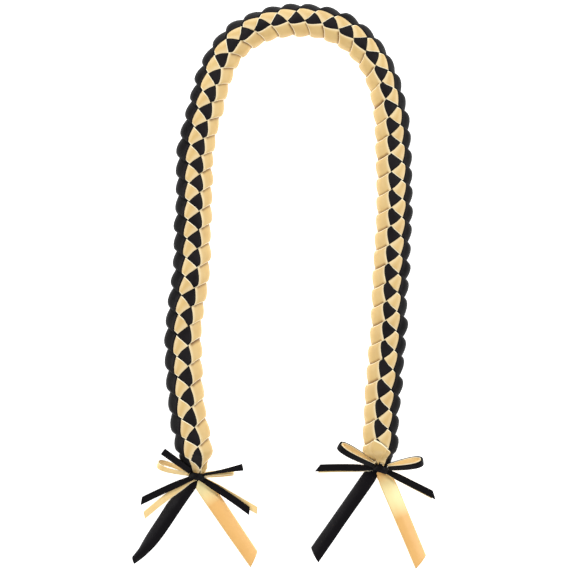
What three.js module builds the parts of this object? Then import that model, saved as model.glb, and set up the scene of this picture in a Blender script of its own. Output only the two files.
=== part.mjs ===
// A braided ribbon garland, worn round the neck: two satin ribbons, one black and one gold, are
// plaited into a thick open band, and each end is tied with a small bow of two narrow ribbons.
// It lies flat on a table as an upside-down U, with its open ends towards -Y.
// Millimetres, +Z up, the table at z = 0.

import * as THREE from 'three';

// The plaited band.
const braidWidth = 33;
const braidHeight = 24;
const stitchPitch = 17;
const firstStitch = 16.3;
const stitchStep = 0.9;
const diamondCrown = 0.9;
const flatUnderside = 1.1;
const sectionRoundness = 0.8;
const endTaper = 25;
const endWidth = 13;
const endHeight = 10;
const endSmoothing = 27;

// The ribbons.
const wideRibbon = 15.9;
const narrowRibbon = 6.35;
const clothThickness = 1;
const touchGap = 0.3;

// The loose ends and the bows' loops.
const wideTailLength = 95;
const narrowTailLength = 56;
const loopReach = 40;
const tailSpread = 0.3;
const twistStart = 0.45;
const loopRoundness = 0.72;
const loopSwell = 1.6;
const loopGather = 0.3;

// The knots that tie the two ends.
const knotRadius = 6.5;
const knotHeight = 13;
const knotRound = 2.5;

// How finely the curved pieces are divided.
const braidColumns = 16;
const tailSteps = 9;
const loopSteps = 13;
const knotSides = 16;

const black = new THREE.Color(0x1a171d);
const gold = new THREE.Color(0xeecb83);

// The middle of the band seen from above, from the left end over the top to the right end.
const route = [
  [-79.8, -164.2], [-83.6, -141.5], [-88.6, -112], [-91.4, -82], [-92.6, -52],
  [-90.6, -20.4], [-85.6, 12], [-84.2, 45], [-82.9, 84], [-82.2, 116],
  [-78, 141], [-71.3, 167], [-64.4, 190.6], [-54.5, 211.5], [-38.5, 227.3],
  [-15.2, 238.2], [10.9, 241.8], [36, 239], [59.5, 228], [76.5, 211],
  [85.6, 194], [92.8, 170.5], [97.3, 145], [99.2, 112], [99.6, 75],
  [98.2, 42.2], [95.9, 7.7], [94.6, -34], [91.7, -73], [88.6, -108],
  [87.4, -135], [87.3, -157.1],
];

// A knot stands against each end of the band.
const leftEnd = route[0];
const rightEnd = route[route.length - 1];
const knots = {
  left: { x: leftEnd[0] - touchGap, y: leftEnd[1] - knotRadius - touchGap },
  right: { x: rightEnd[0] - 2 * touchGap, y: rightEnd[1] - knotRadius - 2 * touchGap },
};

// At shares of the band's length: how far it is rolled towards its outer side, its width and its
// stitches' pitch as shares of the sizes above, and how far it lies outside the route.
const stretches = [
  { share: 0, degrees: 4, width: 1, outward: 0.2, pitch: 1.125 },
  { share: 0.3, degrees: -3, width: 1, outward: 0.2, pitch: 0.98 },
  { share: 0.5, degrees: 13, width: 0.94, outward: 1.1, pitch: 0.934 },
  { share: 0.7, degrees: 9, width: 0.97, outward: -0.2, pitch: 0.973 },
  { share: 1, degrees: 6, width: 0.97, outward: -0.5, pitch: 1.076 },
];

// Round the band, from the outer side over the top to the inner side: where each lengthwise line
// of the plait lies, as a share of half the width; how far its stitches start ahead of the outer
// tips, in pitches; and how high a stitch stands just before its edge, just after it and at its
// middle, as shares of the step (at the sides) or of the crown (in the middle).
const plaitLines = [
  { across: -1, ahead: 0.36, before: -0.8, after: 1, middle: 0.3 },
  { across: -0.84, ahead: 0.28, before: -0.8, after: 1, middle: 0.3 },
  { across: -0.56, ahead: 0.14, before: -0.7, after: 1, middle: 0.4 },
  { across: -0.31, ahead: 0, before: -0.9, after: -0.9, middle: 0.9 },
  { across: -0.04, ahead: 0.25, before: 0.6, after: -0.3, middle: 0.2 },
  { across: 0.24, ahead: 0.5, before: -0.9, after: -0.9, middle: 0.9 },
  { across: 0.49, ahead: 0.62, before: -0.7, after: 1, middle: 0.4 },
  { across: 0.8, ahead: 0.77, before: -0.8, after: 1, middle: 0.3 },
  { across: 1, ahead: 0.86, before: -0.8, after: 1, middle: 0.3 },
];

// Within one stitch: where its rings lie, in pitches, and which height each takes.
const stitchRings = [
  { phase: -0.05, height: 'before' },
  { phase: 0.05, height: 'after' },
  { phase: 0.3, height: 'middle' },
  { phase: 0.55, height: 'middle' },
  { phase: 0.8, height: 'before' },
];

// The loose ends of the band's own two ribbons. Headings in degrees from +X, turning towards +Y;
// length as a share of the length above, cut how far one corner runs past the other, and twist
// how far the end turns up on its edge.
const wideTails = [
  { side: 'left', colour: 'black', heading: 232.6, length: 0.979, bend: 1.5, cut: 4, twist: -42 },
  { side: 'left', colour: 'gold', heading: -55.6, length: 0.984, bend: 2, cut: -10, twist: 0 },
  { side: 'right', colour: 'black', heading: 233.1, length: 1.046, bend: 0, cut: 7.5, twist: 0 },
  { side: 'right', colour: 'gold', heading: -66.5, length: 0.996, bend: 2, cut: -7.5, twist: 0 },
];

// How a loose end lies: its ribbon's width, the length its rows are shares of, the height of its
// middle at the knot and where it has settled, the share of its length over which it comes down,
// and how far the knot draws it in, as a share of its width.
const wideForm = {
  width: wideRibbon, full: wideTailLength, lift: 1.7, rest: clothThickness / 2, landing: 0.3, pinch: 0.42,
};
const lowerForm = {
  width: narrowRibbon, full: narrowTailLength, lift: 4.2, rest: clothThickness / 2, landing: 0.88,
  pinch: 0.75,
};
const upperForm = {
  width: narrowRibbon, full: narrowTailLength, lift: 6.2, rest: clothThickness * 1.5 + 1.3 * touchGap,
  landing: 1, pinch: 0.75,
};

const narrowTails = [
  { side: 'left', colour: 'black', place: 'outer', heading: 204.7, length: 0.98, bend: -2, cut: 4.7 },
  { side: 'left', colour: 'gold', place: 'outer', heading: 216.7, length: 1.066, bend: -1, cut: 3.5 },
  { side: 'left', colour: 'black', place: 'inner', heading: -33.9, length: 1.027, bend: 1, cut: -4.1 },
  { side: 'left', colour: 'gold', place: 'inner', heading: -30.5, length: 1.138, bend: 0, cut: -3 },
  { side: 'right', colour: 'black', place: 'inner', heading: 180.7, length: 1.005, bend: 0, cut: 5.5 },
  { side: 'right', colour: 'gold', place: 'inner', heading: 181.6, length: 0.973, bend: 0, cut: 5.5 },
  { side: 'right', colour: 'black', place: 'outer', heading: -26.7, length: 0.961, bend: 0, cut: -6.5 },
  { side: 'right', colour: 'gold', place: 'outer', heading: -28, length: 0.929, bend: 0, cut: -6.5 },
];

// How a loop stands: the height of its middle at the knot, how far apart its two ends leave the
// knot, and how far its opening leans over from upright (0, the ribbon lies flat) to level (90,
// it stands on its edge).
const loopForms = {
  left_black_outer: { lift: 11.9, parting: 1.5, lean: 0 },
  left_gold_outer: { lift: 8.5, parting: 1.5, lean: 58 },
  left_black_inner: { lift: 11.9, parting: 1.5, lean: 0 },
  left_gold_inner: { lift: 8.5, parting: 1.5, lean: 12 },
  right_black_inner: { lift: 10.2, parting: 4.8, lean: 78 },
  right_gold_inner: { lift: 10.2, parting: 1.6, lean: 78 },
  right_black_outer: { lift: 10.2, parting: 4.8, lean: 78 },
  right_gold_outer: { lift: 10.2, parting: 1.6, lean: 78 },
};

// The bows' loops: reach from the knot's middle as a share of the reach above, the height of
// their middle at the tip, and how wide they open.
const loops = [
  { side: 'left', colour: 'black', place: 'outer', heading: 142.7, reach: 0.935, tipLift: 21, opening: 3.4 },
  { side: 'left', colour: 'gold', place: 'outer', heading: 164.5, reach: 0.9, tipLift: 8, opening: 8 },
  { side: 'left', colour: 'black', place: 'inner', heading: 11.7, reach: 1.063, tipLift: 16, opening: 4.2 },
  { side: 'left', colour: 'gold', place: 'inner', heading: 5.5, reach: 0.9, tipLift: 4.6, opening: 3.6 },
  { side: 'right', colour: 'black', place: 'inner', heading: 151.7, reach: 1.1, tipLift: 12.5, opening: 9.4 },
  { side: 'right', colour: 'gold', place: 'inner', heading: 151.7, reach: 1.05, tipLift: 12.5, opening: 5.8 },
  { side: 'right', colour: 'black', place: 'outer', heading: 6, reach: 0.97, tipLift: 12.5, opening: 10.4 },
  { side: 'right', colour: 'gold', place: 'outer', heading: 6, reach: 0.92, tipLift: 12.5, opening: 6.8 },
];

const up = new THREE.Vector3(0, 0, 1);
const radians = THREE.MathUtils.degToRad;

// 0 below 0, 1 above 1, and a smooth rise between.
function ease(share) {
  return THREE.MathUtils.smoothstep(share, 0, 1);
}

function cloth(colour) {
  return new THREE.MeshStandardMaterial({
    color: colour === 'black' ? black : gold,
    roughness: 0.45,
    metalness: 0,
  });
}

// A closed solid through rings of points, each ring with the same count, turning left-handed
// about the way the rings follow each other, and closed by a fan on its first and last ring.
function loftedSolid(rings) {
  const count = rings[0].length;
  const points = rings.flat();
  const faces = [];
  for (let ring = 0; ring < rings.length - 1; ring += 1) {
    for (let side = 0; side < count; side += 1) {
      const next = (side + 1) % count;
      const a = ring * count + side;
      const b = ring * count + next;
      faces.push(a, a + count, b, b, a + count, b + count);
    }
  }
  const last = (rings.length - 1) * count;
  for (let side = 1; side < count - 1; side += 1) {
    faces.push(0, side, side + 1);
    faces.push(last, last + side + 1, last + side);
  }
  const geometry = new THREE.BufferGeometry().setFromPoints(points);
  geometry.setIndex(faces);
  geometry.computeVertexNormals();
  return geometry;
}

function namedMesh(name, geometry, colour) {
  const mesh = new THREE.Mesh(geometry, cloth(colour));
  mesh.name = name;
  return mesh;
}

// The value of a table at a share of the length, smoothly between its rows.
function fromTable(rows, share, key) {
  const above = Math.max(1, rows.findIndex((row) => row.share >= share));
  const low = rows[above - 1];
  const high = rows[above];
  const part = ease((share - low.share) / (high.share - low.share));
  return low[key] + (high[key] - low[key]) * part;
}

function pitchAt(share) {
  return stitchPitch * fromTable(stretches, share, 'pitch');
}

// One ring round the plaited band. Each of its points lies on its own lengthwise line.
function braidRing(curve, length, along, fade, heightKey) {
  const points = [];
  const lines = plaitLines.length;
  for (let column = 0; column < braidColumns; column += 1) {
    const under = column >= lines;
    const line = plaitLines[under ? braidColumns - column : column];
    const distance = along + fade * line.ahead * pitchAt(along / length);
    const share = THREE.MathUtils.clamp(distance / length, 0, 1);
    const centre = curve.getPointAt(share);
    const forward = curve.getTangentAt(share);
    const inward = new THREE.Vector3().crossVectors(forward, up).normalize();

    const fromEnd = Math.min(share, 1 - share) * length;
    const full = ease(fromEnd / endTaper);
    const widest = braidWidth * fromTable(stretches, share, 'width');
    const halfWidth = (endWidth + (widest - endWidth) * full) / 2;
    const halfHeight = (endHeight + (braidHeight - endHeight) * full) / 2;
    const middle = Math.abs(line.across) < 0.4;
    const relief = line[heightKey] * (middle ? diamondCrown : stitchStep) * full;

    const swing = Math.asin(line.across);
    const side = Math.sin(swing) * (halfWidth + relief);
    const rise = Math.cos(swing) ** sectionRoundness * (halfHeight + relief) * (under ? -1 : 1);
    const roll = radians(fromTable(stretches, share, 'degrees')) * full;
    const outward = fromTable(stretches, share, 'outward') * full;
    const across = side * Math.cos(roll) - rise * Math.sin(roll) - outward;
    const height = side * Math.sin(roll) + rise * Math.cos(roll);
    const centreHeight = halfHeight - flatUnderside;
    points.push(new THREE.Vector3(
      centre.x + inward.x * across,
      centre.y + inward.y * across,
      Math.max(0, centreHeight + height),
    ));
  }
  return points.reverse();
}

function braid() {
  const places = route.map(([x, y]) => new THREE.Vector3(x, y, 0));
  const curve = new THREE.CatmullRomCurve3(places, false, 'catmullrom', 0.5);
  curve.arcLengthDivisions = 2000;
  const length = curve.getLength();
  const rings = [];
  rings.push(braidRing(curve, length, 0, 0, 'before'));
  let start = firstStitch - 2 * stitchPitch;
  while (start < length) {
    const pitch = pitchAt(start / length);
    for (const { phase, height } of stitchRings) {
      const along = start + phase * pitch;
      const fade = ease(along / endSmoothing) * ease((length - along) / endSmoothing);
      if (along > 1 && along < length - 1) {
        rings.push(braidRing(curve, length, along, fade, height));
      }
    }
    start += pitch;
  }
  rings.push(braidRing(curve, length, length, 0, 'before'));
  return namedMesh('braid', loftedSolid(rings), 'gold');
}

// The four corners of a flat ribbon at one place of its length: its middle, the way it runs, the
// way its width lies, that width and how far a cut end is slanted.
function ribbonRing(middle, along, across, width, slant) {
  const facing = new THREE.Vector3().crossVectors(along, across).normalize();
  const corner = (side, face) => middle.clone()
    .addScaledVector(across, (side * width) / 2)
    .addScaledVector(along, (side * slant) / 2)
    .addScaledVector(facing, (face * clothThickness) / 2);
  return [corner(-1, -1), corner(-1, 1), corner(1, 1), corner(1, -1)];
}

// A loose end that leaves the knot at its own height and settles on the table.
function tail(name, { side, colour, heading, length, bend, cut, twist = 0 }, form) {
  const knot = knots[side];
  const angle = radians(heading);
  const out = new THREE.Vector3(Math.cos(angle), Math.sin(angle), 0);
  const left = new THREE.Vector3(-out.y, out.x, 0);
  const start = knotRadius + touchGap;
  const run = length * form.full - start;
  const turnAt = (share) => radians(twist * ease((share - twistStart) / (1 - twistStart)));
  const at = (share) => {
    const rest = form.rest + (Math.abs(Math.sin(turnAt(share))) * form.width) / 2;
    const height = rest + (form.lift - form.rest) * (1 - ease(share / form.landing));
    return new THREE.Vector3(knot.x, knot.y, height)
      .addScaledVector(out, start + share * run)
      .addScaledVector(left, bend * Math.sin(Math.PI * share));
  };
  const rings = [];
  for (let step = 0; step <= tailSteps; step += 1) {
    const share = step / tailSteps;
    const along = at(Math.min(1, share + 0.01)).sub(at(Math.max(0, share - 0.01))).normalize();
    if (step === 0) along.copy(out);
    const across = new THREE.Vector3().crossVectors(up, along).normalize()
      .applyAxisAngle(along, turnAt(share));
    const drawn = form.pinch + (1 - form.pinch) * ease(share / tailSpread);
    const slant = step === tailSteps ? cut : 0;
    rings.push(ribbonRing(at(share), along, across, form.width * drawn, slant));
  }
  return namedMesh(name, loftedSolid(rings), colour);
}

// A loop of the bow: out from the knot, round the tip and back.
function loop(name, { side, colour, place, heading, reach, tipLift, opening }) {
  const { lift, parting, lean } = loopForms[`${side}_${colour}_${place}`];
  const knot = knots[side];
  const angle = radians(heading);
  const out = new THREE.Vector3(Math.cos(angle), Math.sin(angle), 0);
  const spread = up.clone().applyAxisAngle(out, radians(lean));
  const start = knotRadius + touchGap;
  const tip = reach * loopReach - clothThickness / 2;
  const width = new THREE.Vector3().crossVectors(spread, out).normalize();
  const at = (share) => {
    const turn = Math.PI * (share - 0.5);
    const run = Math.cos(turn) ** loopRoundness;
    const gape = parting / 2 + ((opening - parting) / 2) * loopSwell * run;
    return new THREE.Vector3(knot.x, knot.y, lift + (tipLift - lift) * run)
      .addScaledVector(out, start + run * (tip - start))
      .addScaledVector(spread, -Math.sin(turn) * gape);
  };
  const rings = [];
  for (let step = 0; step <= loopSteps; step += 1) {
    const share = step / loopSteps;
    const along = at(Math.min(1, share + 0.02)).sub(at(Math.max(0, share - 0.02))).normalize();
    if (step === 0) along.copy(out);
    if (step === loopSteps) along.copy(out).negate();
    const drawn = 1 - loopGather + loopGather * Math.sin(Math.PI * share) ** 0.5;
    rings.push(ribbonRing(at(share), along, width, narrowRibbon * drawn, 0));
  }
  return namedMesh(name, loftedSolid(rings), colour);
}

// The knot: the narrow ribbons wound round the band's end, a low barrel.
function knot(side) {
  const profile = [
    [0, touchGap], [knotRadius - knotRound, touchGap], [knotRadius, touchGap + knotRound],
    [knotRadius, knotHeight + touchGap - knotRound], [knotRadius - knotRound, knotHeight + touchGap],
    [0, knotHeight + touchGap],
  ].map(([radius, height]) => new THREE.Vector2(radius, height));
  const geometry = new THREE.LatheGeometry(profile, knotSides);
  geometry.rotateX(Math.PI / 2);
  const mesh = namedMesh(`${side}_knot`, geometry, 'black');
  mesh.position.set(knots[side].x, knots[side].y, 0);
  return mesh;
}

const garland = new THREE.Group();
garland.name = 'garland';
garland.add(braid());
for (const side of ['left', 'right']) {
  garland.add(knot(side));
}
for (const row of wideTails) {
  garland.add(tail(`${row.side}_wide_tail_${row.colour}`, row, wideForm));
}
for (const row of narrowTails) {
  const form = row.colour === 'black' ? upperForm : lowerForm;
  garland.add(tail(`${row.side}_narrow_tail_${row.colour}_${row.place}`, row, form));
}
for (const row of loops) {
  garland.add(loop(`${row.side}_loop_${row.colour}_${row.place}`, row));
}

// The origin is on the table, under the middle of the whole outline.
const outline = new THREE.Box3().setFromObject(garland, true);
const middle = outline.getCenter(new THREE.Vector3());
garland.position.set(-middle.x, -middle.y, -outline.min.z);

export default garland;
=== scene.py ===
# A braided ribbon lei, laid flat as an upside-down U and seen from straight above.
# Two satin ribbons, one black and one gold, are plaited into a thick band. At each end a bow of
# two narrow ribbons ties it off, and the wide ribbons run on as two loose tails. Every ribbon
# here is a strip: a surface of two parameters, one along the ribbon and one across it.

import math

import bpy
import numpy as np
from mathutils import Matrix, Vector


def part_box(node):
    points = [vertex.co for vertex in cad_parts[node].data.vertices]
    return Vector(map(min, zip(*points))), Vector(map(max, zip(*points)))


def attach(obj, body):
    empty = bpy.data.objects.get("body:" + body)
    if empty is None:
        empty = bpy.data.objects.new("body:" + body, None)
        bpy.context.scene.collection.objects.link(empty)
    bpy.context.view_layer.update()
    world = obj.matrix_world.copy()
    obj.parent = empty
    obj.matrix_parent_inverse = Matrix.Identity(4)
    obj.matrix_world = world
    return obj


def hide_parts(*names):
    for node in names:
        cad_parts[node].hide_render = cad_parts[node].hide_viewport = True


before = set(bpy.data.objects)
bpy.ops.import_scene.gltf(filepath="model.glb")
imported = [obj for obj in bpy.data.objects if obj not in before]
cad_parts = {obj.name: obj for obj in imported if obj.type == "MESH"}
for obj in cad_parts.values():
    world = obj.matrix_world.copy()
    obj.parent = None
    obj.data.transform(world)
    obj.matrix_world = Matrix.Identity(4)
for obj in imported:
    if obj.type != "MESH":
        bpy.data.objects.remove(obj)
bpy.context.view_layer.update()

MM = 0.001

# Lengths are in millimetres, unless a line says otherwise.
# The plaited band's section.
BRAID_WIDTH = 33.0
BRAID_HEIGHT = 24.0
SECTION_POWER = 0.8  # of the sine of the angle round the section: below 1 makes it fuller
FLAT_UNDERSIDE = 1.1  # how far the rounded section would reach below the table
PRESSED_BELOW = 1.8  # what lies lower than this is pressed together

# The plaited band's ends, the left one first.
END_TAPER = (14.0, 9.0)
END_WIDTH = 19.0
END_HEIGHT = 12.0
END_RELIEF = 0.35  # the share of the ribbons' relief that is left there
GATHER_WIDTH = 9.5  # how much narrower and lower it is drawn inside a knot, and how soon
GATHER_HEIGHT = 4.0
GATHER_RUN = 8.0
RUN_ON = 6.0  # how far past an end a ribbon is kept

# The places of the stitches along the band.
STITCH_PITCH = 17.0
FIRST_STITCH = 35.0
END_PITCHES = (17.5, 22.5)  # from the first stitch to the one before it, and before that
STITCHES_BEFORE = 6
PLACES_RUN_ON = 60.0  # how far past the right end the places go on
NOTCH_AHEAD = 0.36  # how many pitches a notch lies ahead of a ribbon's zero

# The ribbons and the knots.
WIDE_RIBBON = 15.9
NARROW_RIBBON = 6.35
RIBBON_THICKNESS = 0.35
LOWEST = 0.6 * RIBBON_THICKNESS
KNOT_RADIUS = 6.5
KNOT_HEIGHT = 13.0
TOUCH_GAP = 0.3
CLOTH_WALL = 1.0
KNOTS = {"left": (-80.1, -171.0), "right": (86.8, -164.2)}
KNOT_TILTS = {"left": -10.0, "right": -20.0}

# The turns of narrow ribbon round each knot: name, colour, reach and how much it bulges.
WRAPS = [
    ("wrap", "black", 6.6, 0.9),
    ("under_wrap", "gold", 6.0, 0.4),
]
WRAP_SHIFT = -0.3
WRAP_LOWEST = 0.3
LEVEL_REACH = 7.2  # a wrap of this reach is as high as the knot's solid
WRAP_STEPS = 48

# The middle of the band seen from above, from the left end over the top to the right end.
ROUTE = [
    (-79.8, -164.2), (-83.6, -141.5), (-88.6, -112), (-91.4, -82), (-92.6, -52),
    (-90.6, -20.4), (-85.6, 12), (-84.2, 45), (-82.9, 84), (-82.2, 116),
    (-78, 141), (-71.3, 167), (-64.4, 190.6), (-54.5, 211.5), (-38.5, 227.3),
    (-15.2, 238.2), (10.9, 241.8), (36, 239), (59.5, 228), (76.5, 211),
    (85.6, 194), (92.8, 170.5), (97.3, 145), (99.2, 112), (99.6, 75),
    (98.2, 42.2), (95.9, 7.7), (94.6, -34), (91.7, -73), (88.6, -108),
    (87.4, -135), (87.3, -157.1),
]
ROUTE_STEPS = 40

# At shares of the length: the band's roll towards its outer side in degrees, its width and its
# pitch as shares of the sizes above, and how far it lies outside the route.
STRETCH_COLUMNS = ("share", "roll", "width", "outward", "pitch")
STRETCHES = np.array([
    (0.0, 4, 1.00, -0.3, 1.125),
    (0.3, -3, 1.01, -0.3, 0.980),
    (0.5, 13, 0.885, 0.8, 0.934),
    (0.6, 12, 0.89, 1.1, 0.950),
    (0.7, 9, 0.98, -0.2, 0.973),
    (1.0, 6, 0.98, -0.6, 1.076),
])

# One stitch of a ribbon, from the middle of its own side over the front to the middle of the
# other side. A row is a line across the ribbon, from its rear edge to its front edge. Each edge
# has a lane (1 at its own side's outline, -1 at the other side's), how far it lies ahead, in
# pitches, and its lift above the plait's mean surface. Puff is the row's crown, bow how far its
# middle bends towards its own side, and the last column is how much painted highlight lies where
# the ribbon is folded.
STITCH = [
    # rear: lane, ahead, lift; front: lane, ahead, lift; puff, bow, painted fold highlight
    (1.00, 0.36, -2.3, 1.00, 1.46, -3.2, 3.0, 0.00, 0.0),
    (0.80, 0.27, -1.4, 0.77, 1.36, -2.6, 2.2, 0.03, 0.0),
    (0.53, 0.13, 0.1, 0.47, 1.18, -0.8, 1.0, 0.09, 0.1),
    (0.38, 0.05, 0.5, 0.33, 1.06, 0.0, 0.5, 0.13, 1.0),
    (0.36, 0.05, -0.6, 0.32, 1.05, -0.8, 0.0, 0.13, 0.6),
    (0.05, 0.22, -1.0, 0.33, 1.03, -0.9, 0.0, 0.04, 0.0),
    (-0.19, 0.43, -0.7, 0.34, 1.00, -0.6, 0.0, 0.00, 0.0),
    (-0.27, 0.50, 0.2, 0.28, 1.03, 0.2, 0.2, 0.00, 0.7),
    (-0.38, 0.60, 0.5, -0.02, 1.27, 0.5, 0.6, 0.00, 0.0),
    (-0.50, 0.70, 0.2, -0.28, 1.46, 0.1, 0.3, -0.03, 0.4),
    (-0.60, 0.80, -0.8, -0.42, 1.60, -0.8, 0.0, -0.05, 0.3),
    (-0.82, 1.02, -3.0, -0.76, 1.90, -3.0, 0.0, 0.00, 0.0),
]
NOSE = (-1.00, 1.30, -4.8, -1.00, 2.25, -4.8, 0.0, 0.00, 0.0)
RISE_AGAIN = (-0.82, 1.60, -3.0, -0.76, 2.50, -3.0, 0.0, 0.00, 0.0)
# The columns of those rows, once their lanes have become turns round the band.
TURNS, AHEADS, LIFTS = [0, 3], [1, 4], [2, 5]
REAR, FRONT = slice(0, 3), slice(3, 6)
PUFF, BOW, FOLD_HIGHLIGHT = 6, 7, 8
STEPS_PER_ROW = 3
STITCH_LANES = np.array([0, 0.03, 0.09, 0.18, 0.3, 0.45, 0.6, 0.76, 0.9, 1.0])
CROWN_SCALE = 2.6  # makes the crown's top 1

# What a ribbon's relief is multiplied by on its own side of the band, from this lane on.
SIDE_RELIEF = {"black": 1.3, "gold": 0.85}
SIDE_FROM = 0.6
# The gold ribbon's last crossing lies over the black one: its number, the rows that are lifted
# and by how much, and the rows that are made wider, in pitches, and left without the painted
# fold highlight.
LAST_OVER = {
    "number": 50, "lifted": slice(4, 7), "lift": 2.7, "widened": slice(3, 8), "wider": 0.35,
}
# How much each stitch differs from the next: its place in pitches, its puff and its lift.
UNEVEN = {"ahead": 0.018, "puff": 0.12, "lift": 0.1}
SEEDS = {"gold": 3, "black": 5, "narrow tails": 20, "wide tails": 40}

# Shade is painted where little light gets, at a ribbon's front edge on its own side: from which
# share across it and from which lane, each with the run over which that rises.
COVERED = {"across": (0.78, 0.13), "own side": (0.38, 0.1)}
# How much painted shade darkens a ribbon all over its own side, and from which lane: only the
# black's side is painted darker than its front.
SIDE_PAINTED_SHADE = {"black": 0.7, "gold": 0.0}
SHADED = (0.4, 0.15)

# Loose ends. The forms of the tails: the height at rest, the shares of the length over which a
# tail comes down and opens out, and how narrow it is pinched at the knot. The looks: how much of
# its arch and its tilt it has, at the knot and opened out, and how much it ripples.
WIDE_FORM = {"rest": 0.5, "landing": 0.3, "opening": 0.26}
LOWER_FORM = {"rest": 0.5, "landing": 0.88, "pinch": 0.75, "opening": 0.3}
UPPER_FORM = {"rest": 1.89, "landing": 1.0, "pinch": 0.75, "opening": 0.3}
WIDE_LOOK = {"arched": (0.3, 0.9), "tilted": (0.3, 1.0), "tilt power": 0.35, "ripple": 0.12}
NARROW_LOOK = {"arched": 0.35, "ripple": 0.15}
TUCKED_IN = 0.05  # the share of a tail's length that goes on into the knot
SLANT = (0.7, 0.3)  # where a tail's rows begin to turn into its slanted cut, and over what run
RIPPLES = {"counts": (1, 2, 3), "heights": (0.4, 1.0), "slant": 0.11, "mean": 0.8, "swing": 0.5}
RIPPLES_RISE = 0.25  # the share of a tail's length over which they rise
TAIL_ROWS = 77
TAIL_COLUMNS = 9
EDGE_STEPS = 12

# Each wide tail: side, colour, heading, lift at the knot, edge turned up (1 its left, -1 its
# right), cut, and rows of where its edges lie, seen from above: the distance from the knot's
# middle along the heading, then the right and the left edge's distance to the left of that line.
WIDE_TAILS = [
    ("left", "black", 234.0, 1.7, 1, 6.8, [
        (7.0, 0.0, 6.0), (19.4, -3.3, 6.2), (33.2, -6.7, 6.6), (51.0, -6.1, 7.3),
        (66.0, -5.3, 7.5), (76.0, -4.7, 6.7), (86.0, -3.7, 4.6), (94.8, -2.7, 1.7),
    ]),
    ("left", "gold", -55.2, 1.7, -1, -8.5, [
        (7.0, -6.6, 3.2), (11.0, -7.8, 4.5), (22.2, -8.2, 6.5), (40.0, -8.2, 6.6),
        (60.0, -8.2, 6.2), (92.5, -7.8, 5.6),
    ]),
    ("right", "black", 233.1, 1.7, 1, 7.1, [
        (7.0, -9.2, 0.8), (12.0, -9.5, 3.1), (30.0, -8.8, 3.9), (50.0, -8.1, 4.4),
        (75.0, -7.3, 5.4), (99.4, -6.6, 6.4),
    ]),
    ("right", "gold", -66.9, 1.7, -1, -7.5, [
        (7.0, -6.4, 3.6), (16.0, -6.5, 7.6), (50.0, -6.5, 7.5), (93.5, -6.6, 7.0),
    ]),
]
NARROW_TAILS = [
    # side, colour, place, heading, length, lift, bend, cut
    ("left", "black", "outer", 204.8, 56.0, 6.2, -0.4, 4.7),
    ("left", "gold", "outer", 217.2, 60.6, 4.2, -0.8, 3.5),
    ("left", "black", "inner", -34.4, 57.9, 6.2, 0.6, -4.1),
    ("left", "gold", "inner", -30.5, 63.7, 4.2, 0.0, -3.0),
    ("right", "black", "inner", 180.2, 57.2, 6.2, -0.6, 5.5),
    ("right", "gold", "inner", 181.6, 54.5, 4.2, 0.0, 5.5),
    ("right", "black", "outer", -26.9, 55.2, 6.2, 0.0, -6.5),
    ("right", "gold", "outer", -28.0, 52.0, 4.2, 0.0, -6.5),
]

# The bows' loops. Parting is how far apart a loop's two ends lie, opening how far apart its
# sides, lean its turn about its own line in degrees and waist its width's share at the knot.
LOOPS = [
    # side, colour, place, heading, reach, lift, tip lift, opening, parting, lean, waist
    ("left", "black", "outer", 142.9, 38.2, 11.9, 20.0, 4.6, 2.4, 0, 0.8),
    ("left", "gold", "outer", 163.2, 37.6, 8.5, 8.4, 11.8, 2.4, 28, 0.6),
    ("left", "black", "inner", 11.2, 43.0, 11.9, 16.0, 4.8, 2.4, 0, 0.35),
    ("left", "gold", "inner", 5.5, 34.0, 8.5, 7.4, 4.8, 2.4, 25, 0.7),
    ("right", "black", "inner", 150.8, 44.2, 11.0, 12.5, 14.6, 4.8, 27, 0.7),
    ("right", "gold", "inner", 150.8, 42.2, 11.0, 12.5, 11.2, 2.6, 27, 0.7),
    ("right", "black", "outer", 9.9, 39.6, 11.0, 12.5, 14.6, 4.8, -27, 0.7),
    ("right", "gold", "outer", 9.9, 37.6, 11.0, 12.5, 11.2, 2.6, -27, 0.7),
]
LOOP_POWER = 0.72
LOOP_GAPE = 1.6
LOOP_CUP = 0.25
LOOP_ROWS = 81
LOOP_COLUMNS = 7

# The solids are centred on the table: their offset from the numbers above, in metres.
low, high = (np.array(corner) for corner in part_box("left_knot"))
OFFSET = np.array([
    (low[0] + high[0]) / 2 - KNOTS["left"][0] * MM,
    (low[1] + high[1]) / 2 - KNOTS["left"][1] * MM,
    0.0,
])

# The photograph: its frame is 573 pixels square at this many millimetres a pixel, on the level
# of the band's middle. Camera height and level are in metres.
MM_PER_PIXEL = 0.907
FRAME_PIXELS = 573
FRAME_MIDDLE = (1.4, 0.9)
SCALE_LEVEL = 0.012
CAMERA_HEIGHT = 2.4
SENSOR_MM = 36.0

# The studio, in metres and watts. A light has a place, an energy and a width.
FLOOR_HALF = 3.0
FLOOR_DROP = 0.05 * MM
FLOOR_WHITE = (0.9, 0.9, 0.9, 1)
FLOOR_GLOW = 0.8
FLOOR_ROUGHNESS = 0.8
SURROUND_STRENGTH = 0.36
WHITE = (1, 1, 1, 1)
LIGHTS = {
    "left": ((-1.5, 0.2, 0.85), 15, 0.6),
    "right": ((1.5, 0.2, 0.85), 15, 0.6),
    "top": ((-0.2, 1.6, 0.95), 16, 0.4),
    "front": ((0.1, -1.6, 0.9), 9, 0.6),
}

# Satin: the pitch of its threads and of its edges' picks in metres, the height of each in the
# bump, and the slow blotches in which it is deeper.
THREAD_PITCH = 0.00035
PICK_PITCH = 0.0009
WEAVE = {"thread": 0.35, "pick": 0.25, "edge": 1.1}
BUMP = {"Strength": 0.35, "Distance": 0.0001}
BLOTCHES = {"Scale": 70.0, "Detail": 2.0}
BLOTCH_FROM = 0.42
BLOTCH_GAIN = 3.0
BLOTCH_DEPTH = 0.55
# How much of the edge colour is painted along a fold: a painted highlight on the gold.
CREASE_LIGHT = 0.55
ROUGHER = {"blotch": 0.05, "edge": 0.08}
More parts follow.
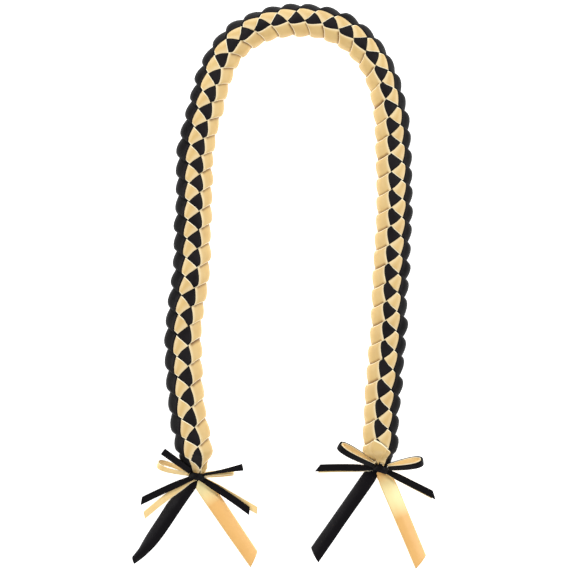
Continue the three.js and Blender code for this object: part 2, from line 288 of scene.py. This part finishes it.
# A ribbon's woven edge: its width, the share of it that is full and the share over which it fades.
WIDE_EDGE = 0.9
NARROW_EDGE = 0.5
EDGE_FULL = 0.6
EDGE_FADES = 0.5


def camera_above():
    """A long lens straight above the middle of the photograph's frame."""
    data = bpy.data.cameras.new("camera")
    data.sensor_width = SENSOR_MM
    data.lens = SENSOR_MM * CAMERA_HEIGHT / (FRAME_PIXELS * MM_PER_PIXEL * MM)
    camera = bpy.data.objects.new("camera", data)
    x, y = (FRAME_MIDDLE[k] * MM + OFFSET[k] for k in (0, 1))
    camera.location = (x, y, CAMERA_HEIGHT + SCALE_LEVEL)
    bpy.context.scene.collection.objects.link(camera)
    bpy.context.scene.camera = camera


def ease(share):
    """0 below 0, 1 above 1, and a smooth rise between: three squares less two cubes."""
    x = np.clip(share, 0.0, 1.0)
    return x * x * (3 - 2 * x)


def rising(value, start, run):
    """A smooth rise from 0 at the start to 1 after the run."""
    return ease((value - start) / run)


def between(first, last, share):
    """The value that lies at that share of the way from the first to the last."""
    return first + (last - first) * share


def unit(vectors):
    """Each vector divided by its length."""
    return vectors / np.linalg.norm(vectors, axis=-1, keepdims=True)


def through(rows, steps):
    """A smooth line through the rows: each stretch is the cubic whose ends take the slope of
    the line between their neighbours, divided into that many steps."""
    rows = np.asarray(rows, float)
    padded = np.vstack([2 * rows[0] - rows[1], rows, 2 * rows[-1] - rows[-2]])
    a, b, c, d = (padded[k:len(rows) - 1 + k, None, :] for k in range(4))
    t = (np.arange(steps) / steps)[None, :, None]
    slope_b, slope_c = (c - a) / 2, (d - b) / 2
    line = (
        (2 * t**3 - 3 * t**2 + 1) * b + (t**3 - 2 * t**2 + t) * slope_b
        + (3 * t**2 - 2 * t**3) * c + (t**3 - t**2) * slope_c
    )
    return np.vstack([line.reshape(-1, rows.shape[1]), rows[-1:]])


def distances(points):
    """How far along the line each of its points lies."""
    steps = np.linalg.norm(np.diff(points, axis=0), axis=1)
    return np.concatenate([[0], np.cumsum(steps)])


# The band's middle line, finely divided, and how far along it each point lies.
LINE = through(ROUTE, ROUTE_STEPS)
LINE_AT = distances(LINE)
LENGTH = LINE_AT[-1]
LINE_WAY = unit(np.gradient(LINE, axis=0))


def stretch(share, name):
    """One column of the band's stretches at shares of its length, smoothly between the rows."""
    rows = STRETCHES[:, 0]
    step = np.clip(np.searchsorted(rows, share) - 1, 0, len(rows) - 2)
    blend = ease((share - rows[step]) / (rows[step + 1] - rows[step]))
    values = STRETCHES[:, STRETCH_COLUMNS.index(name)]
    return between(values[step], values[step + 1], blend)


def stitch_places():
    """The numbers of the outer side's notches and where they lie, one pitch after the other. The
    few before the first one lie further apart, as the band runs into its knot."""
    places = [FIRST_STITCH]
    while places[-1] < LENGTH + PLACES_RUN_ON:
        pitch = STITCH_PITCH * float(stretch(places[-1] / LENGTH, "pitch"))
        places.append(places[-1] + pitch)
    near, far = END_PITCHES
    before = [FIRST_STITCH - near - far * k for k in reversed(range(STITCHES_BEFORE))]
    return np.arange(-STITCHES_BEFORE, len(places)), np.array(before + places)


def on_band(along, angle, lift):
    """A point of the plaited band's surface: the section at that distance along is a rounded
    oblong, and angle runs round it from the outer side (0) over the top to the inner side (pi).
    Its side is the angle's cosine and its rise a power of the sine. The section is rolled about
    the middle line and stands on the table, where its height fades out as an exponential. Past
    the band's ends the section draws in, as it does inside the knot."""
    inside = np.clip(along, 0, LENGTH)
    beyond = along - inside
    way = unit(np.stack([np.interp(inside, LINE_AT, LINE_WAY[:, k]) for k in (0, 1)], axis=-1))
    centre = np.stack([np.interp(inside, LINE_AT, LINE[:, k]) for k in (0, 1)], axis=-1)
    centre = centre + way * beyond[..., None]
    inward = np.stack([way[..., 1], -way[..., 0]], axis=-1)

    part = inside / LENGTH
    full = ease(inside / END_TAPER[0]) * ease((LENGTH - inside) / END_TAPER[1])
    drawn = ease(np.abs(beyond) / GATHER_RUN)
    width = between(END_WIDTH, BRAID_WIDTH * stretch(part, "width"), full)
    height = between(END_HEIGHT, BRAID_HEIGHT, full)
    half_width = (width - GATHER_WIDTH * drawn) / 2
    half_height = (height - GATHER_HEIGHT * drawn) / 2
    lift = lift * between(END_RELIEF, 1, full)

    side = -np.cos(angle) * (half_width + lift)
    sine = np.sin(angle)
    rise = np.sign(sine) * np.abs(sine) ** SECTION_POWER * (half_height + lift)
    roll = np.radians(stretch(part, "roll")) * full
    across = side * np.cos(roll) - rise * np.sin(roll) - stretch(part, "outward") * full
    z = height / 2 - FLAT_UNDERSIDE + side * np.sin(roll) + rise * np.cos(roll)
    fading = (np.minimum(z, PRESSED_BELOW) - PRESSED_BELOW) / PRESSED_BELOW
    z = np.where(z < PRESSED_BELOW, PRESSED_BELOW * np.exp(fading), z)
    xy = centre + inward * across[..., None]
    return np.concatenate([xy, z[..., None]], axis=-1)


def strip_piece(name, grid, finish, lanes=None, marks=None, closed=False):
    """A ribbon from a grid of points in millimetres, rows along it and columns across it. Its
    map holds, for each point, the share across the ribbon and the distance along it in metres.
    Two attributes carry painted light: one rises to 1 along the ribbon's folds, for a painted
    highlight, and the other where little light gets to it, for painted shade."""
    rows, columns = grid.shape[:2]
    points = grid.reshape(-1, 3) * MM + OFFSET
    index = np.arange(rows * columns).reshape(rows, columns)
    if closed:
        index = np.vstack([index, index[:1]])
    faces = np.stack(
        [index[:-1, :-1], index[:-1, 1:], index[1:, 1:], index[1:, :-1]], axis=-1
    ).reshape(-1, 4)
    mesh = bpy.data.meshes.new(name)
    mesh.from_pydata(points.tolist(), [], faces.tolist())
    middle = grid[:, columns // 2]
    along = distances(np.vstack([middle, middle[:1]]) if closed else middle) * MM
    across = np.linspace(0, 1, columns) if lanes is None else lanes
    cells = np.indices((len(index) - 1, columns - 1))
    row, column = cells[0].ravel(), cells[1].ravel()
    corners = [(0, 0), (0, 1), (1, 1), (1, 0)]
    uv = np.stack(
        [np.stack([across[column + c], along[row + r]], axis=-1) for r, c in corners], axis=1
    )
    layer = mesh.uv_layers.new(name="ribbon")
    layer.data.foreach_set("uv", uv.astype(np.float32).ravel())
    mesh.polygons.foreach_set("use_smooth", np.ones(len(faces), bool))
    for key in ("fold_highlight", "painted_shade"):
        values = np.zeros((rows, columns)) if marks is None else marks[key]
        attribute = mesh.attributes.new(key, "FLOAT", "POINT")
        attribute.data.foreach_set("value", values.astype(np.float32).ravel())
    mesh.materials.append(finish)
    mesh.update()
    piece = bpy.data.objects.new(name, mesh)
    bpy.context.scene.collection.objects.link(piece)
    solid = piece.modifiers.new("thickness", "SOLIDIFY")
    solid.thickness = RIBBON_THICKNESS * MM
    solid.offset = 0
    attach(piece, "root")
    return piece


def full_stitch(relief):
    """All rows of one stitch, once round the band: the front rows, the nose on the other side,
    and the same rows back underneath, one pitch further on. A lane is the cosine of its turn
    from the ribbon's own side, and the relief of its own side is scaled."""
    def row(entry, back=False, ahead=0.0):
        lane_r, ahead_r, lift_r, lane_f, ahead_f, lift_f, puff, bow, fold_highlight = entry
        scale = relief if lane_r > SIDE_FROM else 1.0
        turn = (lambda lane: math.tau - math.acos(lane)) if back else math.acos
        return [
            turn(lane_r), ahead_r + ahead, lift_r * scale, turn(lane_f), ahead_f + ahead,
            lift_f * scale, puff * scale, bow if back else -bow, fold_highlight,
        ]

    front = [row(entry) for entry in STITCH]
    back = [row(entry, back=True, ahead=1.0) for entry in STITCH[1:-1][::-1]]
    return np.array(front + [row(NOSE), row(RISE_AGAIN, back=True)] + back)


def plaited_ribbon(name, colour, own_side):
    """One of the two plaited ribbons, unbroken from end to end. It winds once round the band for
    each stitch; the two ribbons wind opposite ways, half a pitch apart, and each passes over and
    under the other by its rows' lift. Across the ribbon, the crown is the root of the share from
    the rear edge times what is left to the front edge."""
    stitch_number, stitch_place = stitch_places()
    rng = np.random.default_rng(SEEDS[colour])
    numbers = np.arange(1 - STITCHES_BEFORE, len(stitch_number) - STITCHES_BEFORE - 2)
    count = len(numbers)
    rows = np.repeat(full_stitch(SIDE_RELIEF[colour])[None], count, axis=0)
    rows[:, :, AHEADS] += numbers[:, None, None] + rng.normal(0, UNEVEN["ahead"], (count, 1, 1))
    rows[:, :, TURNS] += math.tau * np.arange(count)[:, None, None]
    rows[:, :, PUFF] *= 1 + rng.normal(0, UNEVEN["puff"], (count, 1))
    rows[:, :, LIFTS] += rng.normal(0, UNEVEN["lift"], (count, 1, 2))
    if colour == "gold":
        last = rows[LAST_OVER["number"] - int(numbers[0])]
        last[LAST_OVER["lifted"], LIFTS[0]] += LAST_OVER["lift"]
        last[LAST_OVER["lifted"], LIFTS[1]] += LAST_OVER["lift"]
        last[LAST_OVER["widened"], AHEADS[1]] += LAST_OVER["wider"]
        last[LAST_OVER["widened"], FOLD_HIGHLIGHT] = 0
    line = through(rows.reshape(-1, rows.shape[-1]), STEPS_PER_ROW)

    share = STITCH_LANES[None, :]
    crown = CROWN_SCALE * np.sqrt(share) * (1 - share)
    rear, front = line[:, None, REAR], line[:, None, FRONT]
    mixed = rear * (1 - share[..., None]) + front * share[..., None]
    angle, ahead, lift = mixed[..., 0], mixed[..., 1], mixed[..., 2]
    lift = lift + line[:, None, PUFF] * crown
    angle = angle + line[:, None, BOW] * crown
    phase = 0.5 if own_side == "inner" else 0.0
    along = np.interp(ahead + phase - NOTCH_AHEAD, stitch_number, stitch_place)
    angle = math.pi - angle if own_side == "inner" else angle
    kept = (along.min(axis=1) < LENGTH + RUN_ON) & (along.max(axis=1) > -RUN_ON)
    along = np.clip(along, -GATHER_RUN, LENGTH + GATHER_RUN)
    grid = on_band(along, angle, lift)[kept]

    own = np.cos(line[kept, 3:4])
    # Painted shade: beside an edge that covers the ribbon, and on the black all over its own side.
    covered = rising(share, *COVERED["across"]) * rising(own, *COVERED["own side"])
    marks = {
        # painted highlight along the folds
        "fold_highlight": np.clip(line[kept, FOLD_HIGHLIGHT:], 0, 1) * np.ones(share.shape),
        "painted_shade": np.maximum(covered, SIDE_PAINTED_SHADE[colour] * rising(own, *SHADED)),
    }
    piece = strip_piece(name, grid, FINISHES[colour, "wide"], STITCH_LANES, marks)
    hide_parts("braid")
    return piece


def loose_tail(name, side, heading, length, lift, cut, width, form, finish, seen, seed):
    """A loose ribbon end, run out from the knot along its heading, down to the table by a smooth
    step. Seen gives how far its middle lies to the left of that line, how wide it looks from
    above, its tilt, how much it arches and how much it ripples. Its chord is the width seen over
    the tilt's cosine, and the arch takes up what the ribbon is wider than its chord: it is a
    parabola, whose height is the root of three eighths of the chord times that excess. Its lower
    edge stays on the table, its ripples are sines along it, and its end is cut on a slant."""
    knot = KNOTS[side]
    out = np.array([math.cos(math.radians(heading)), math.sin(math.radians(heading)), 0.0])
    left = np.array([-out[1], out[0], 0.0])
    share = np.linspace(-TUCKED_IN, 1, TAIL_ROWS)
    run = between(KNOT_RADIUS + TOUCH_GAP, length, share)
    swing, looks, turn, arched, ripple = seen(run, share)
    chord = looks / np.cos(turn)
    height = between(form["rest"], lift, 1 - ease(share / form["landing"]))
    middle = np.array([knot[0], knot[1], 0.0]) + run[:, None] * out + swing[:, None] * left
    middle[:, 2] = height + np.abs(np.sin(turn)) * chord / 2
    along = unit(np.gradient(middle, axis=0))
    level = unit(np.cross([0.0, 0.0, 1.0], along))
    across = level * np.cos(turn)[:, None] + np.cross(along, level) * np.sin(turn)[:, None]
    facing = np.cross(along, across)

    lanes = np.linspace(-1, 1, TAIL_COLUMNS)[None, :]
    arch = np.sqrt(3 / 8 * chord * np.maximum(width - chord, 0)) * arched
    slide = lanes * cut / 2 * (rising(share, *SLANT) ** 2)[:, None]
    rng = np.random.default_rng(seed)
    waves = 0
    for k in RIPPLES["counts"]:
        phase = rng.uniform() + RIPPLES["slant"] * k * lanes
        tall = rng.uniform(*RIPPLES["heights"])
        waves = waves + tall * np.sin(math.tau * (k * share[:, None] + phase))
    rippled = ripple * (RIPPLES["mean"] + RIPPLES["swing"] * waves)
    bulge = arch[:, None] * (1 - lanes**2) + rippled * ease(share / RIPPLES_RISE)[:, None]
    grid = (
        middle[:, None] + across[:, None] * (lanes * chord[:, None] / 2)[..., None]
        + along[:, None] * slide[..., None] + facing[:, None] * bulge[..., None]
    )
    grid[..., 2] = np.maximum(grid[..., 2], LOWEST)
    return strip_piece(name, grid, finish), middle


def lying_flat(bend, form):
    """A narrow tail: it swings sideways by half a sine and is as wide as it looks."""
    def seen(run, share):
        opened = between(form["pinch"], 1, ease(share / form["opening"]))
        swing = bend * np.sin(math.pi * np.maximum(share, 0))
        level = 0 * share
        return (
            swing, NARROW_RIBBON * opened, level, NARROW_LOOK["arched"] + level,
            NARROW_LOOK["ripple"],
        )
    return seen


def between_edges(rows, up, form):
    """A wide tail: its middle and how wide it looks come from a smooth line through its rows.
    A power of the width seen over its own is its tilt's cosine, and its arch does the rest.
    Nearer the knot than where it has opened out, its tilt fades from what it is there."""
    line = through(rows, EDGE_STEPS)

    def seen(run, share):
        right, left = (np.interp(run, line[:, 0], line[:, k]) for k in (1, 2))
        opened = np.interp(form["opening"], share, run)
        full = np.interp(np.maximum(run, opened), run, left - right)
        out = ease(share / form["opening"])
        tilt = np.arccos(np.minimum(full / WIDE_RIBBON, 1) ** WIDE_LOOK["tilt power"])
        turn = up * tilt * between(*WIDE_LOOK["tilted"], out)
        arched = between(*WIDE_LOOK["arched"], out)
        return (right + left) / 2, left - right, turn, arched, WIDE_LOOK["ripple"]
    return seen


def loop_grid(row):
    """A bow's loop: out from the knot, round the tip and back. Seen edge on it is a teardrop:
    the run is a power of a cosine and the gape grows with the run. Its width grows from the
    waist with a power of a sine, which is the longer narrow the narrower the waist is."""
    side, colour, place, heading, reach, lift, tip_lift, opening, parting, lean, waist = row
    knot = KNOTS[side]
    out = np.array([math.cos(math.radians(heading)), math.sin(math.radians(heading)), 0.0])
    level = np.cross(out, [0.0, 0.0, 1.0])
    lean = math.radians(lean)
    spread = np.array([0.0, 0.0, math.cos(lean)]) - level * math.sin(lean)
    width = np.cross(spread, out)
    share = np.linspace(0, 1, LOOP_ROWS)
    turn = math.pi * (share - 0.5)
    run = np.maximum(np.cos(turn), 0) ** LOOP_POWER
    gape = parting / 2 + (opening - parting) / 2 * LOOP_GAPE * run
    distance = between(KNOT_RADIUS + TOUCH_GAP, reach - CLOTH_WALL / 2, run)
    middle = (
        np.array([knot[0], knot[1], 0.0]) + distance[:, None] * out
        - (np.sin(turn) * gape)[:, None] * spread
    )
    middle[:, 2] += between(lift, tip_lift, run)
    drawn = between(waist, 1, np.sin(math.pi * share) ** (0.5 / waist))
    lanes = np.linspace(-1, 1, LOOP_COLUMNS)
    along = unit(np.gradient(middle, axis=0))
    facing = np.cross(along, width)
    cup = LOOP_CUP * (1 - lanes[None, :] ** 2) * np.sin(math.pi * share)[:, None]
    grid = (
        middle[:, None] + width * (lanes[None, :] * NARROW_RIBBON * drawn[:, None] / 2)[..., None]
        + facing[:, None] * cup[..., None]
    )
    return grid, middle


class Value:
    """A socket's number. Sums, differences, products and quotients of values add Math nodes."""

    def __init__(self, tree, socket):
        self.tree = tree
        self.socket = socket

    def math(self, operation, *others, swap=False, clamp=False):
        """Adds a Math node on this value and the others, in reverse order if swapped."""
        node = self.tree.nodes.new("ShaderNodeMath")
        node.operation = operation
        node.use_clamp = clamp
        values = [self, *others]
        for slot, value in enumerate(reversed(values) if swap else values):
            if isinstance(value, Value):
                self.tree.links.new(value.socket, node.inputs[slot])
            else:
                node.inputs[slot].default_value = value
        return Value(self.tree, node.outputs[0])

    def __add__(self, other):
        return self.math("ADD", other)

    def __radd__(self, other):
        return self.math("ADD", other)

    def __sub__(self, other):
        return self.math("SUBTRACT", other)

    def __rsub__(self, other):
        return self.math("SUBTRACT", other, swap=True)

    def __mul__(self, other):
        return self.math("MULTIPLY", other)

    def __rmul__(self, other):
        return self.math("MULTIPLY", other)

    def __truediv__(self, other):
        return self.math("DIVIDE", other)

    def __abs__(self):
        return self.math("ABSOLUTE")

    def sine(self):
        """The sine of the value, in radians."""
        return self.math("SINE")

    def clipped(self):
        """The value, held between 0 and 1."""
        return self.math("ADD", 0.0, clamp=True)


class Finish:
    """A material's node tree, with one method that adds any node."""

    def __init__(self, name):
        self.material = bpy.data.materials.new(name)
        self.material.use_nodes = True
        self.tree = self.material.node_tree
        self.shader = self.tree.nodes["Principled BSDF"]

    def node(self, kind, settings=None, **sockets):
        """Adds a node of that type, makes its settings, then sets or links its sockets."""
        node = self.tree.nodes.new(kind)
        for key, value in (settings or {}).items():
            setattr(node, key, value)
        for key, value in sockets.items():
            self.feed(node.inputs[key], value)
        return node

    def feed(self, socket, value):
        """Links a value or a socket to the socket, or sets it to a constant."""
        if isinstance(value, Value):
            self.tree.links.new(value.socket, socket)
        elif isinstance(value, bpy.types.NodeSocket):
            self.tree.links.new(value, socket)
        else:
            socket.default_value = value

    def shade(self, **sockets):
        """Sets or links the shader's own sockets, with underscores for their spaces."""
        for key, value in sockets.items():
            self.feed(self.shader.inputs[key.replace("_", " ")], value)

    def value(self, socket):
        """The socket's number, for expressions."""
        return Value(self.tree, socket)

    def mix(self, factor, first, second):
        """A colour between two, by a factor."""
        node = self.tree.nodes.new("ShaderNodeMix")
        node.data_type = "RGBA"
        self.feed(node.inputs[0], factor)
        self.feed(node.inputs[6], first)
        self.feed(node.inputs[7], second)
        return node.outputs[2]


def linear(red, green, blue):
    """A colour given as the photograph's 0 to 255 values, as the shader's linear numbers. The
    constants are those of the sRGB standard: a straight start, then a power."""
    values = np.array([red, green, blue]) / 255
    straight, curved = values / 12.92, ((values + 0.055) / 1.055) ** 2.4
    return (*np.where(values <= 0.04045, straight, curved).tolist(), 1.0)


def satin(name, base, shade, edge, shadow_colour, width, roughness, shine, edge_width=WIDE_EDGE, painted_highlight=None):
    """Satin ribbon: a smooth sheen with fine warp threads along its length, a slightly deeper
    colour in slow blotches, and a tight woven edge on both sides. The woven edges and the folds
    are painted in the edge colour: a painted highlight on the gold, a darker black on the black.
    A painted highlight can lie along the ribbon: how far along it lies, its half length and
    colour, which fades with the square of the distance. Where shade is painted, the ribbon takes
    the painted shadow colour."""
    finish = Finish(name)
    place = finish.node("ShaderNodeUVMap", {"uv_map": "ribbon"})
    split = finish.node("ShaderNodeSeparateXYZ", Vector=place.outputs[0])
    across = finish.value(split.outputs[0])
    along = finish.value(split.outputs[1])
    from_edge = (0.5 - abs(across - 0.5)) * width
    inwards = (from_edge - edge_width * EDGE_FULL) / (edge_width * EDGE_FADES)
    border = (1.0 - inwards).clipped()

    spot = finish.node("ShaderNodeTexCoord")
    cloud = finish.node("ShaderNodeTexNoise", Vector=spot.outputs["Object"], **BLOTCHES)
    blotch = ((finish.value(cloud.outputs["Fac"]) - BLOTCH_FROM) * BLOTCH_GAIN).clipped()
    body = finish.mix(blotch * BLOTCH_DEPTH, base, shade)
    # A painted highlight along the ribbon, lightest at its middle.
    if painted_highlight:
        highlight_at, highlight_half, highlight_colour = painted_highlight
        from_middle = (along - highlight_at) / highlight_half
        body = finish.mix((1.0 - from_middle * from_middle).clipped(), body, highlight_colour)
    # The woven edges and the folds take the edge colour: a painted highlight on the gold, a darker
    # black on the black.
    fold = finish.node("ShaderNodeAttribute", {"attribute_name": "fold_highlight"})
    fold_highlight = finish.value(fold.outputs["Fac"])
    colour = finish.mix((border + fold_highlight * CREASE_LIGHT).clipped(), body, edge)
    # Painted shadow where little light gets.
    covered = finish.node("ShaderNodeAttribute", {"attribute_name": "painted_shade"})
    colour = finish.mix(finish.value(covered.outputs["Fac"]), colour, shadow_colour)

    thread = (across * (width * MM / THREAD_PITCH * math.tau)).sine()
    picks = (along * (math.tau / PICK_PITCH)).sine()
    weave = thread * WEAVE["thread"] * (1.0 - border) + picks * (WEAVE["pick"] * border)
    relief = weave + border * WEAVE["edge"]
    bump = finish.node("ShaderNodeBump", Height=relief, **BUMP)
    finish.shade(
        Base_Color=colour,
        Roughness=roughness + blotch * ROUGHER["blotch"] + border * ROUGHER["edge"],
        Normal=bump.outputs["Normal"],
        Specular_IOR_Level=shine,
    )
    return finish.material


# Edge is the colour of the woven edges and folds: a painted highlight on the gold, a darker black on
# the black. The darkest colour of each is the painted shadow where little light gets.
GOLD = {
    "base": linear(215, 183, 120), "shade": linear(200, 162, 99), "edge": linear(255, 243, 208),
    "shadow_colour": linear(140, 98, 44), "roughness": 0.42, "shine": 0.4,
}
BLACK = {
    "base": linear(17, 15, 18), "shade": linear(10, 9, 11), "edge": linear(5, 4, 5),
    "shadow_colour": linear(2, 2, 2), "roughness": 0.45, "shine": 0.08,
}
# The narrow gold is painted lighter, for the light that its tilted loops miss.
BOW_GOLD_LIT = {**GOLD, "base": linear(240, 208, 144), "shade": linear(230, 188, 116)}
# The gold tails are the same ribbon as the plait, painted darker and more orange: painted shade for
# how the satin's sheen falls on them.
TAIL_GOLD_SHADED = {
    **GOLD, "base": linear(232, 181, 109), "shade": linear(226, 172, 99),
    "edge": linear(242, 202, 138),
}
# The plaited black is painted lighter than its own tails, with a wider spread of blotches: painted
# sheen on the front of the plait.
PLAITED_BLACK_SHEEN = {**BLACK, "base": linear(32, 29, 31), "shade": linear(8, 7, 9)}
# The colour of the painted highlights on the gold tails.
HIGHLIGHT_GOLD = linear(249, 233, 172)
# Painted highlights on the gold tails, where the light catches them: how far along, and over
# which half length, in metres.
LEFT_HIGHLIGHT = (0.004, 0.024, HIGHLIGHT_GOLD)
RIGHT_HIGHLIGHT = (0.025, 0.022, HIGHLIGHT_GOLD)
WIDE = {"width": WIDE_RIBBON}
NARROW = {"width": NARROW_RIBBON, "edge_width": NARROW_EDGE}
FINISHES = {
    ("gold", "wide"): satin("gold_wide", **WIDE, **GOLD),
    ("gold", "narrow"): satin("gold_narrow", **NARROW, **BOW_GOLD_LIT),
    ("gold", "left"): satin("gold_left_end", painted_highlight=LEFT_HIGHLIGHT, **WIDE, **TAIL_GOLD_SHADED),
    ("gold", "right"): satin("gold_right_end", painted_highlight=RIGHT_HIGHLIGHT, **WIDE, **TAIL_GOLD_SHADED),
    ("black", "wide"): satin("black_wide", **WIDE, **PLAITED_BLACK_SHEEN),
    ("black", "narrow"): satin("black_narrow", **NARROW, **BLACK),
    ("black", "end"): satin("black_end", **WIDE, **BLACK),
}


def finished(node):
    """Hides that solid, as the ribbon piece stands in its place."""
    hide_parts(node)


def free_ribbon(line):
    """Works out a narrow ribbon's middle line in metres, with the offset; nothing is done with it.
    """
    path = line * MM + OFFSET


def knot_wrap(name, side, colour, reach, bulge):
    """A turn of narrow ribbon round the gathered end of the band: a closed strip round an oval,
    bulging as a parabola across it, tilted about the upright axis and shifted along the band."""
    knot = KNOTS[side]
    angle = np.linspace(0, math.tau, WRAP_STEPS + 1)[:-1]
    lanes = np.linspace(-1, 1, TAIL_COLUMNS)
    swell = bulge * (1 - lanes**2)
    radius_x = reach + swell[None, :]
    radius_z = KNOT_HEIGHT / 2 + reach - LEVEL_REACH + swell[None, :]
    x = np.cos(angle)[:, None] * radius_x
    z = np.sin(angle)[:, None] * radius_z + KNOT_HEIGHT / 2 + TOUCH_GAP
    y = lanes[None, :] * NARROW_RIBBON / 2 + WRAP_SHIFT + 0 * x
    turn = math.radians(KNOT_TILTS[side])
    grid = np.stack([
        knot[0] + x * math.cos(turn) - y * math.sin(turn),
        knot[1] + x * math.sin(turn) + y * math.cos(turn),
        np.maximum(z, WRAP_LOWEST),
    ], axis=-1)
    piece = strip_piece(name, grid, FINISHES[colour, "narrow"], closed=True)
    finished(f"{side}_knot")


def bows():
    """Both bows: their knots, narrow tails and loops."""
    for side in KNOTS:
        for wrap, colour, reach, bulge in WRAPS:
            knot_wrap(f"{side}_knot_{wrap}", side, colour, reach, bulge)
    for number, row in enumerate(NARROW_TAILS):
        side, colour, place, heading, length, lift, bend, cut = row
        form = UPPER_FORM if colour == "black" else LOWER_FORM
        piece, line = loose_tail(
            f"{side}_tail_{colour}_{place}", side, heading, length, lift, cut, NARROW_RIBBON, form,
            FINISHES[colour, "narrow"], lying_flat(bend, form), SEEDS["narrow tails"] + number,
        )
        finished(f"{side}_narrow_tail_{colour}_{place}")
        free_ribbon(line)
    for row in LOOPS:
        side, colour, place = row[:3]
        grid, line = loop_grid(row)
        piece = strip_piece(f"{side}_bow_{colour}_{place}", grid, FINISHES[colour, "narrow"])
        finished(f"{side}_loop_{colour}_{place}")
        free_ribbon(line)


def wide_tails():
    """The loose ends of the two plaited ribbons, past the knots."""
    for number, row in enumerate(WIDE_TAILS):
        side, colour, heading, lift, up, cut, edges = row
        finish = FINISHES[colour, side if colour == "gold" else "end"]
        piece, line = loose_tail(
            f"{side}_end_{colour}", side, heading, edges[-1][0], lift, cut, WIDE_RIBBON, WIDE_FORM,
            finish, between_edges(edges, up, WIDE_FORM), SEEDS["wide tails"] + number,
        )
        finished(f"{side}_wide_tail_{colour}")


def braid():
    """The two plaited ribbons."""
    plaited_ribbon("braid_gold", "gold", "inner")
    plaited_ribbon("braid_black", "black", "outer")


def table():
    """A white table that glows a little, just below the part's own level."""
    corners = [(-1, -1), (1, -1), (1, 1), (-1, 1)]
    mesh = bpy.data.meshes.new("floor")
    mesh.from_pydata([(x * FLOOR_HALF, y * FLOOR_HALF, 0) for x, y in corners], [], [(0, 1, 2, 3)])
    white = Finish("table_white")
    white.shade(
        Base_Color=FLOOR_WHITE,
        Emission_Color=WHITE,
        Emission_Strength=FLOOR_GLOW,
        Roughness=FLOOR_ROUGHNESS,
    )
    mesh.materials.append(white.material)
    floor = bpy.data.objects.new("floor", mesh)
    floor.location.z = -FLOOR_DROP
    bpy.context.scene.collection.objects.link(floor)


def studio():
    """The table, a soft light from each side, aimed at the middle, and an even white surround."""
    table()
    world = bpy.data.worlds.new("surround")
    world.use_nodes = True
    surround = world.node_tree.nodes["Background"]
    surround.inputs["Color"].default_value = WHITE
    surround.inputs["Strength"].default_value = SURROUND_STRENGTH
    bpy.context.scene.world = world
    for name, (place, energy, width) in LIGHTS.items():
        data = bpy.data.lights.new(name, "AREA")
        data.energy = energy
        data.size = width
        light = bpy.data.objects.new(name, data)
        light.location = place
        x, y, z = place
        light.rotation_euler = (math.atan2(math.hypot(x, y), z), 0, math.atan2(-y, -x) - math.pi / 2)
        bpy.context.scene.collection.objects.link(light)
    bpy.context.scene.view_settings.view_transform = "Standard"


camera_above()
bows()
wide_tails()
braid()
studio()
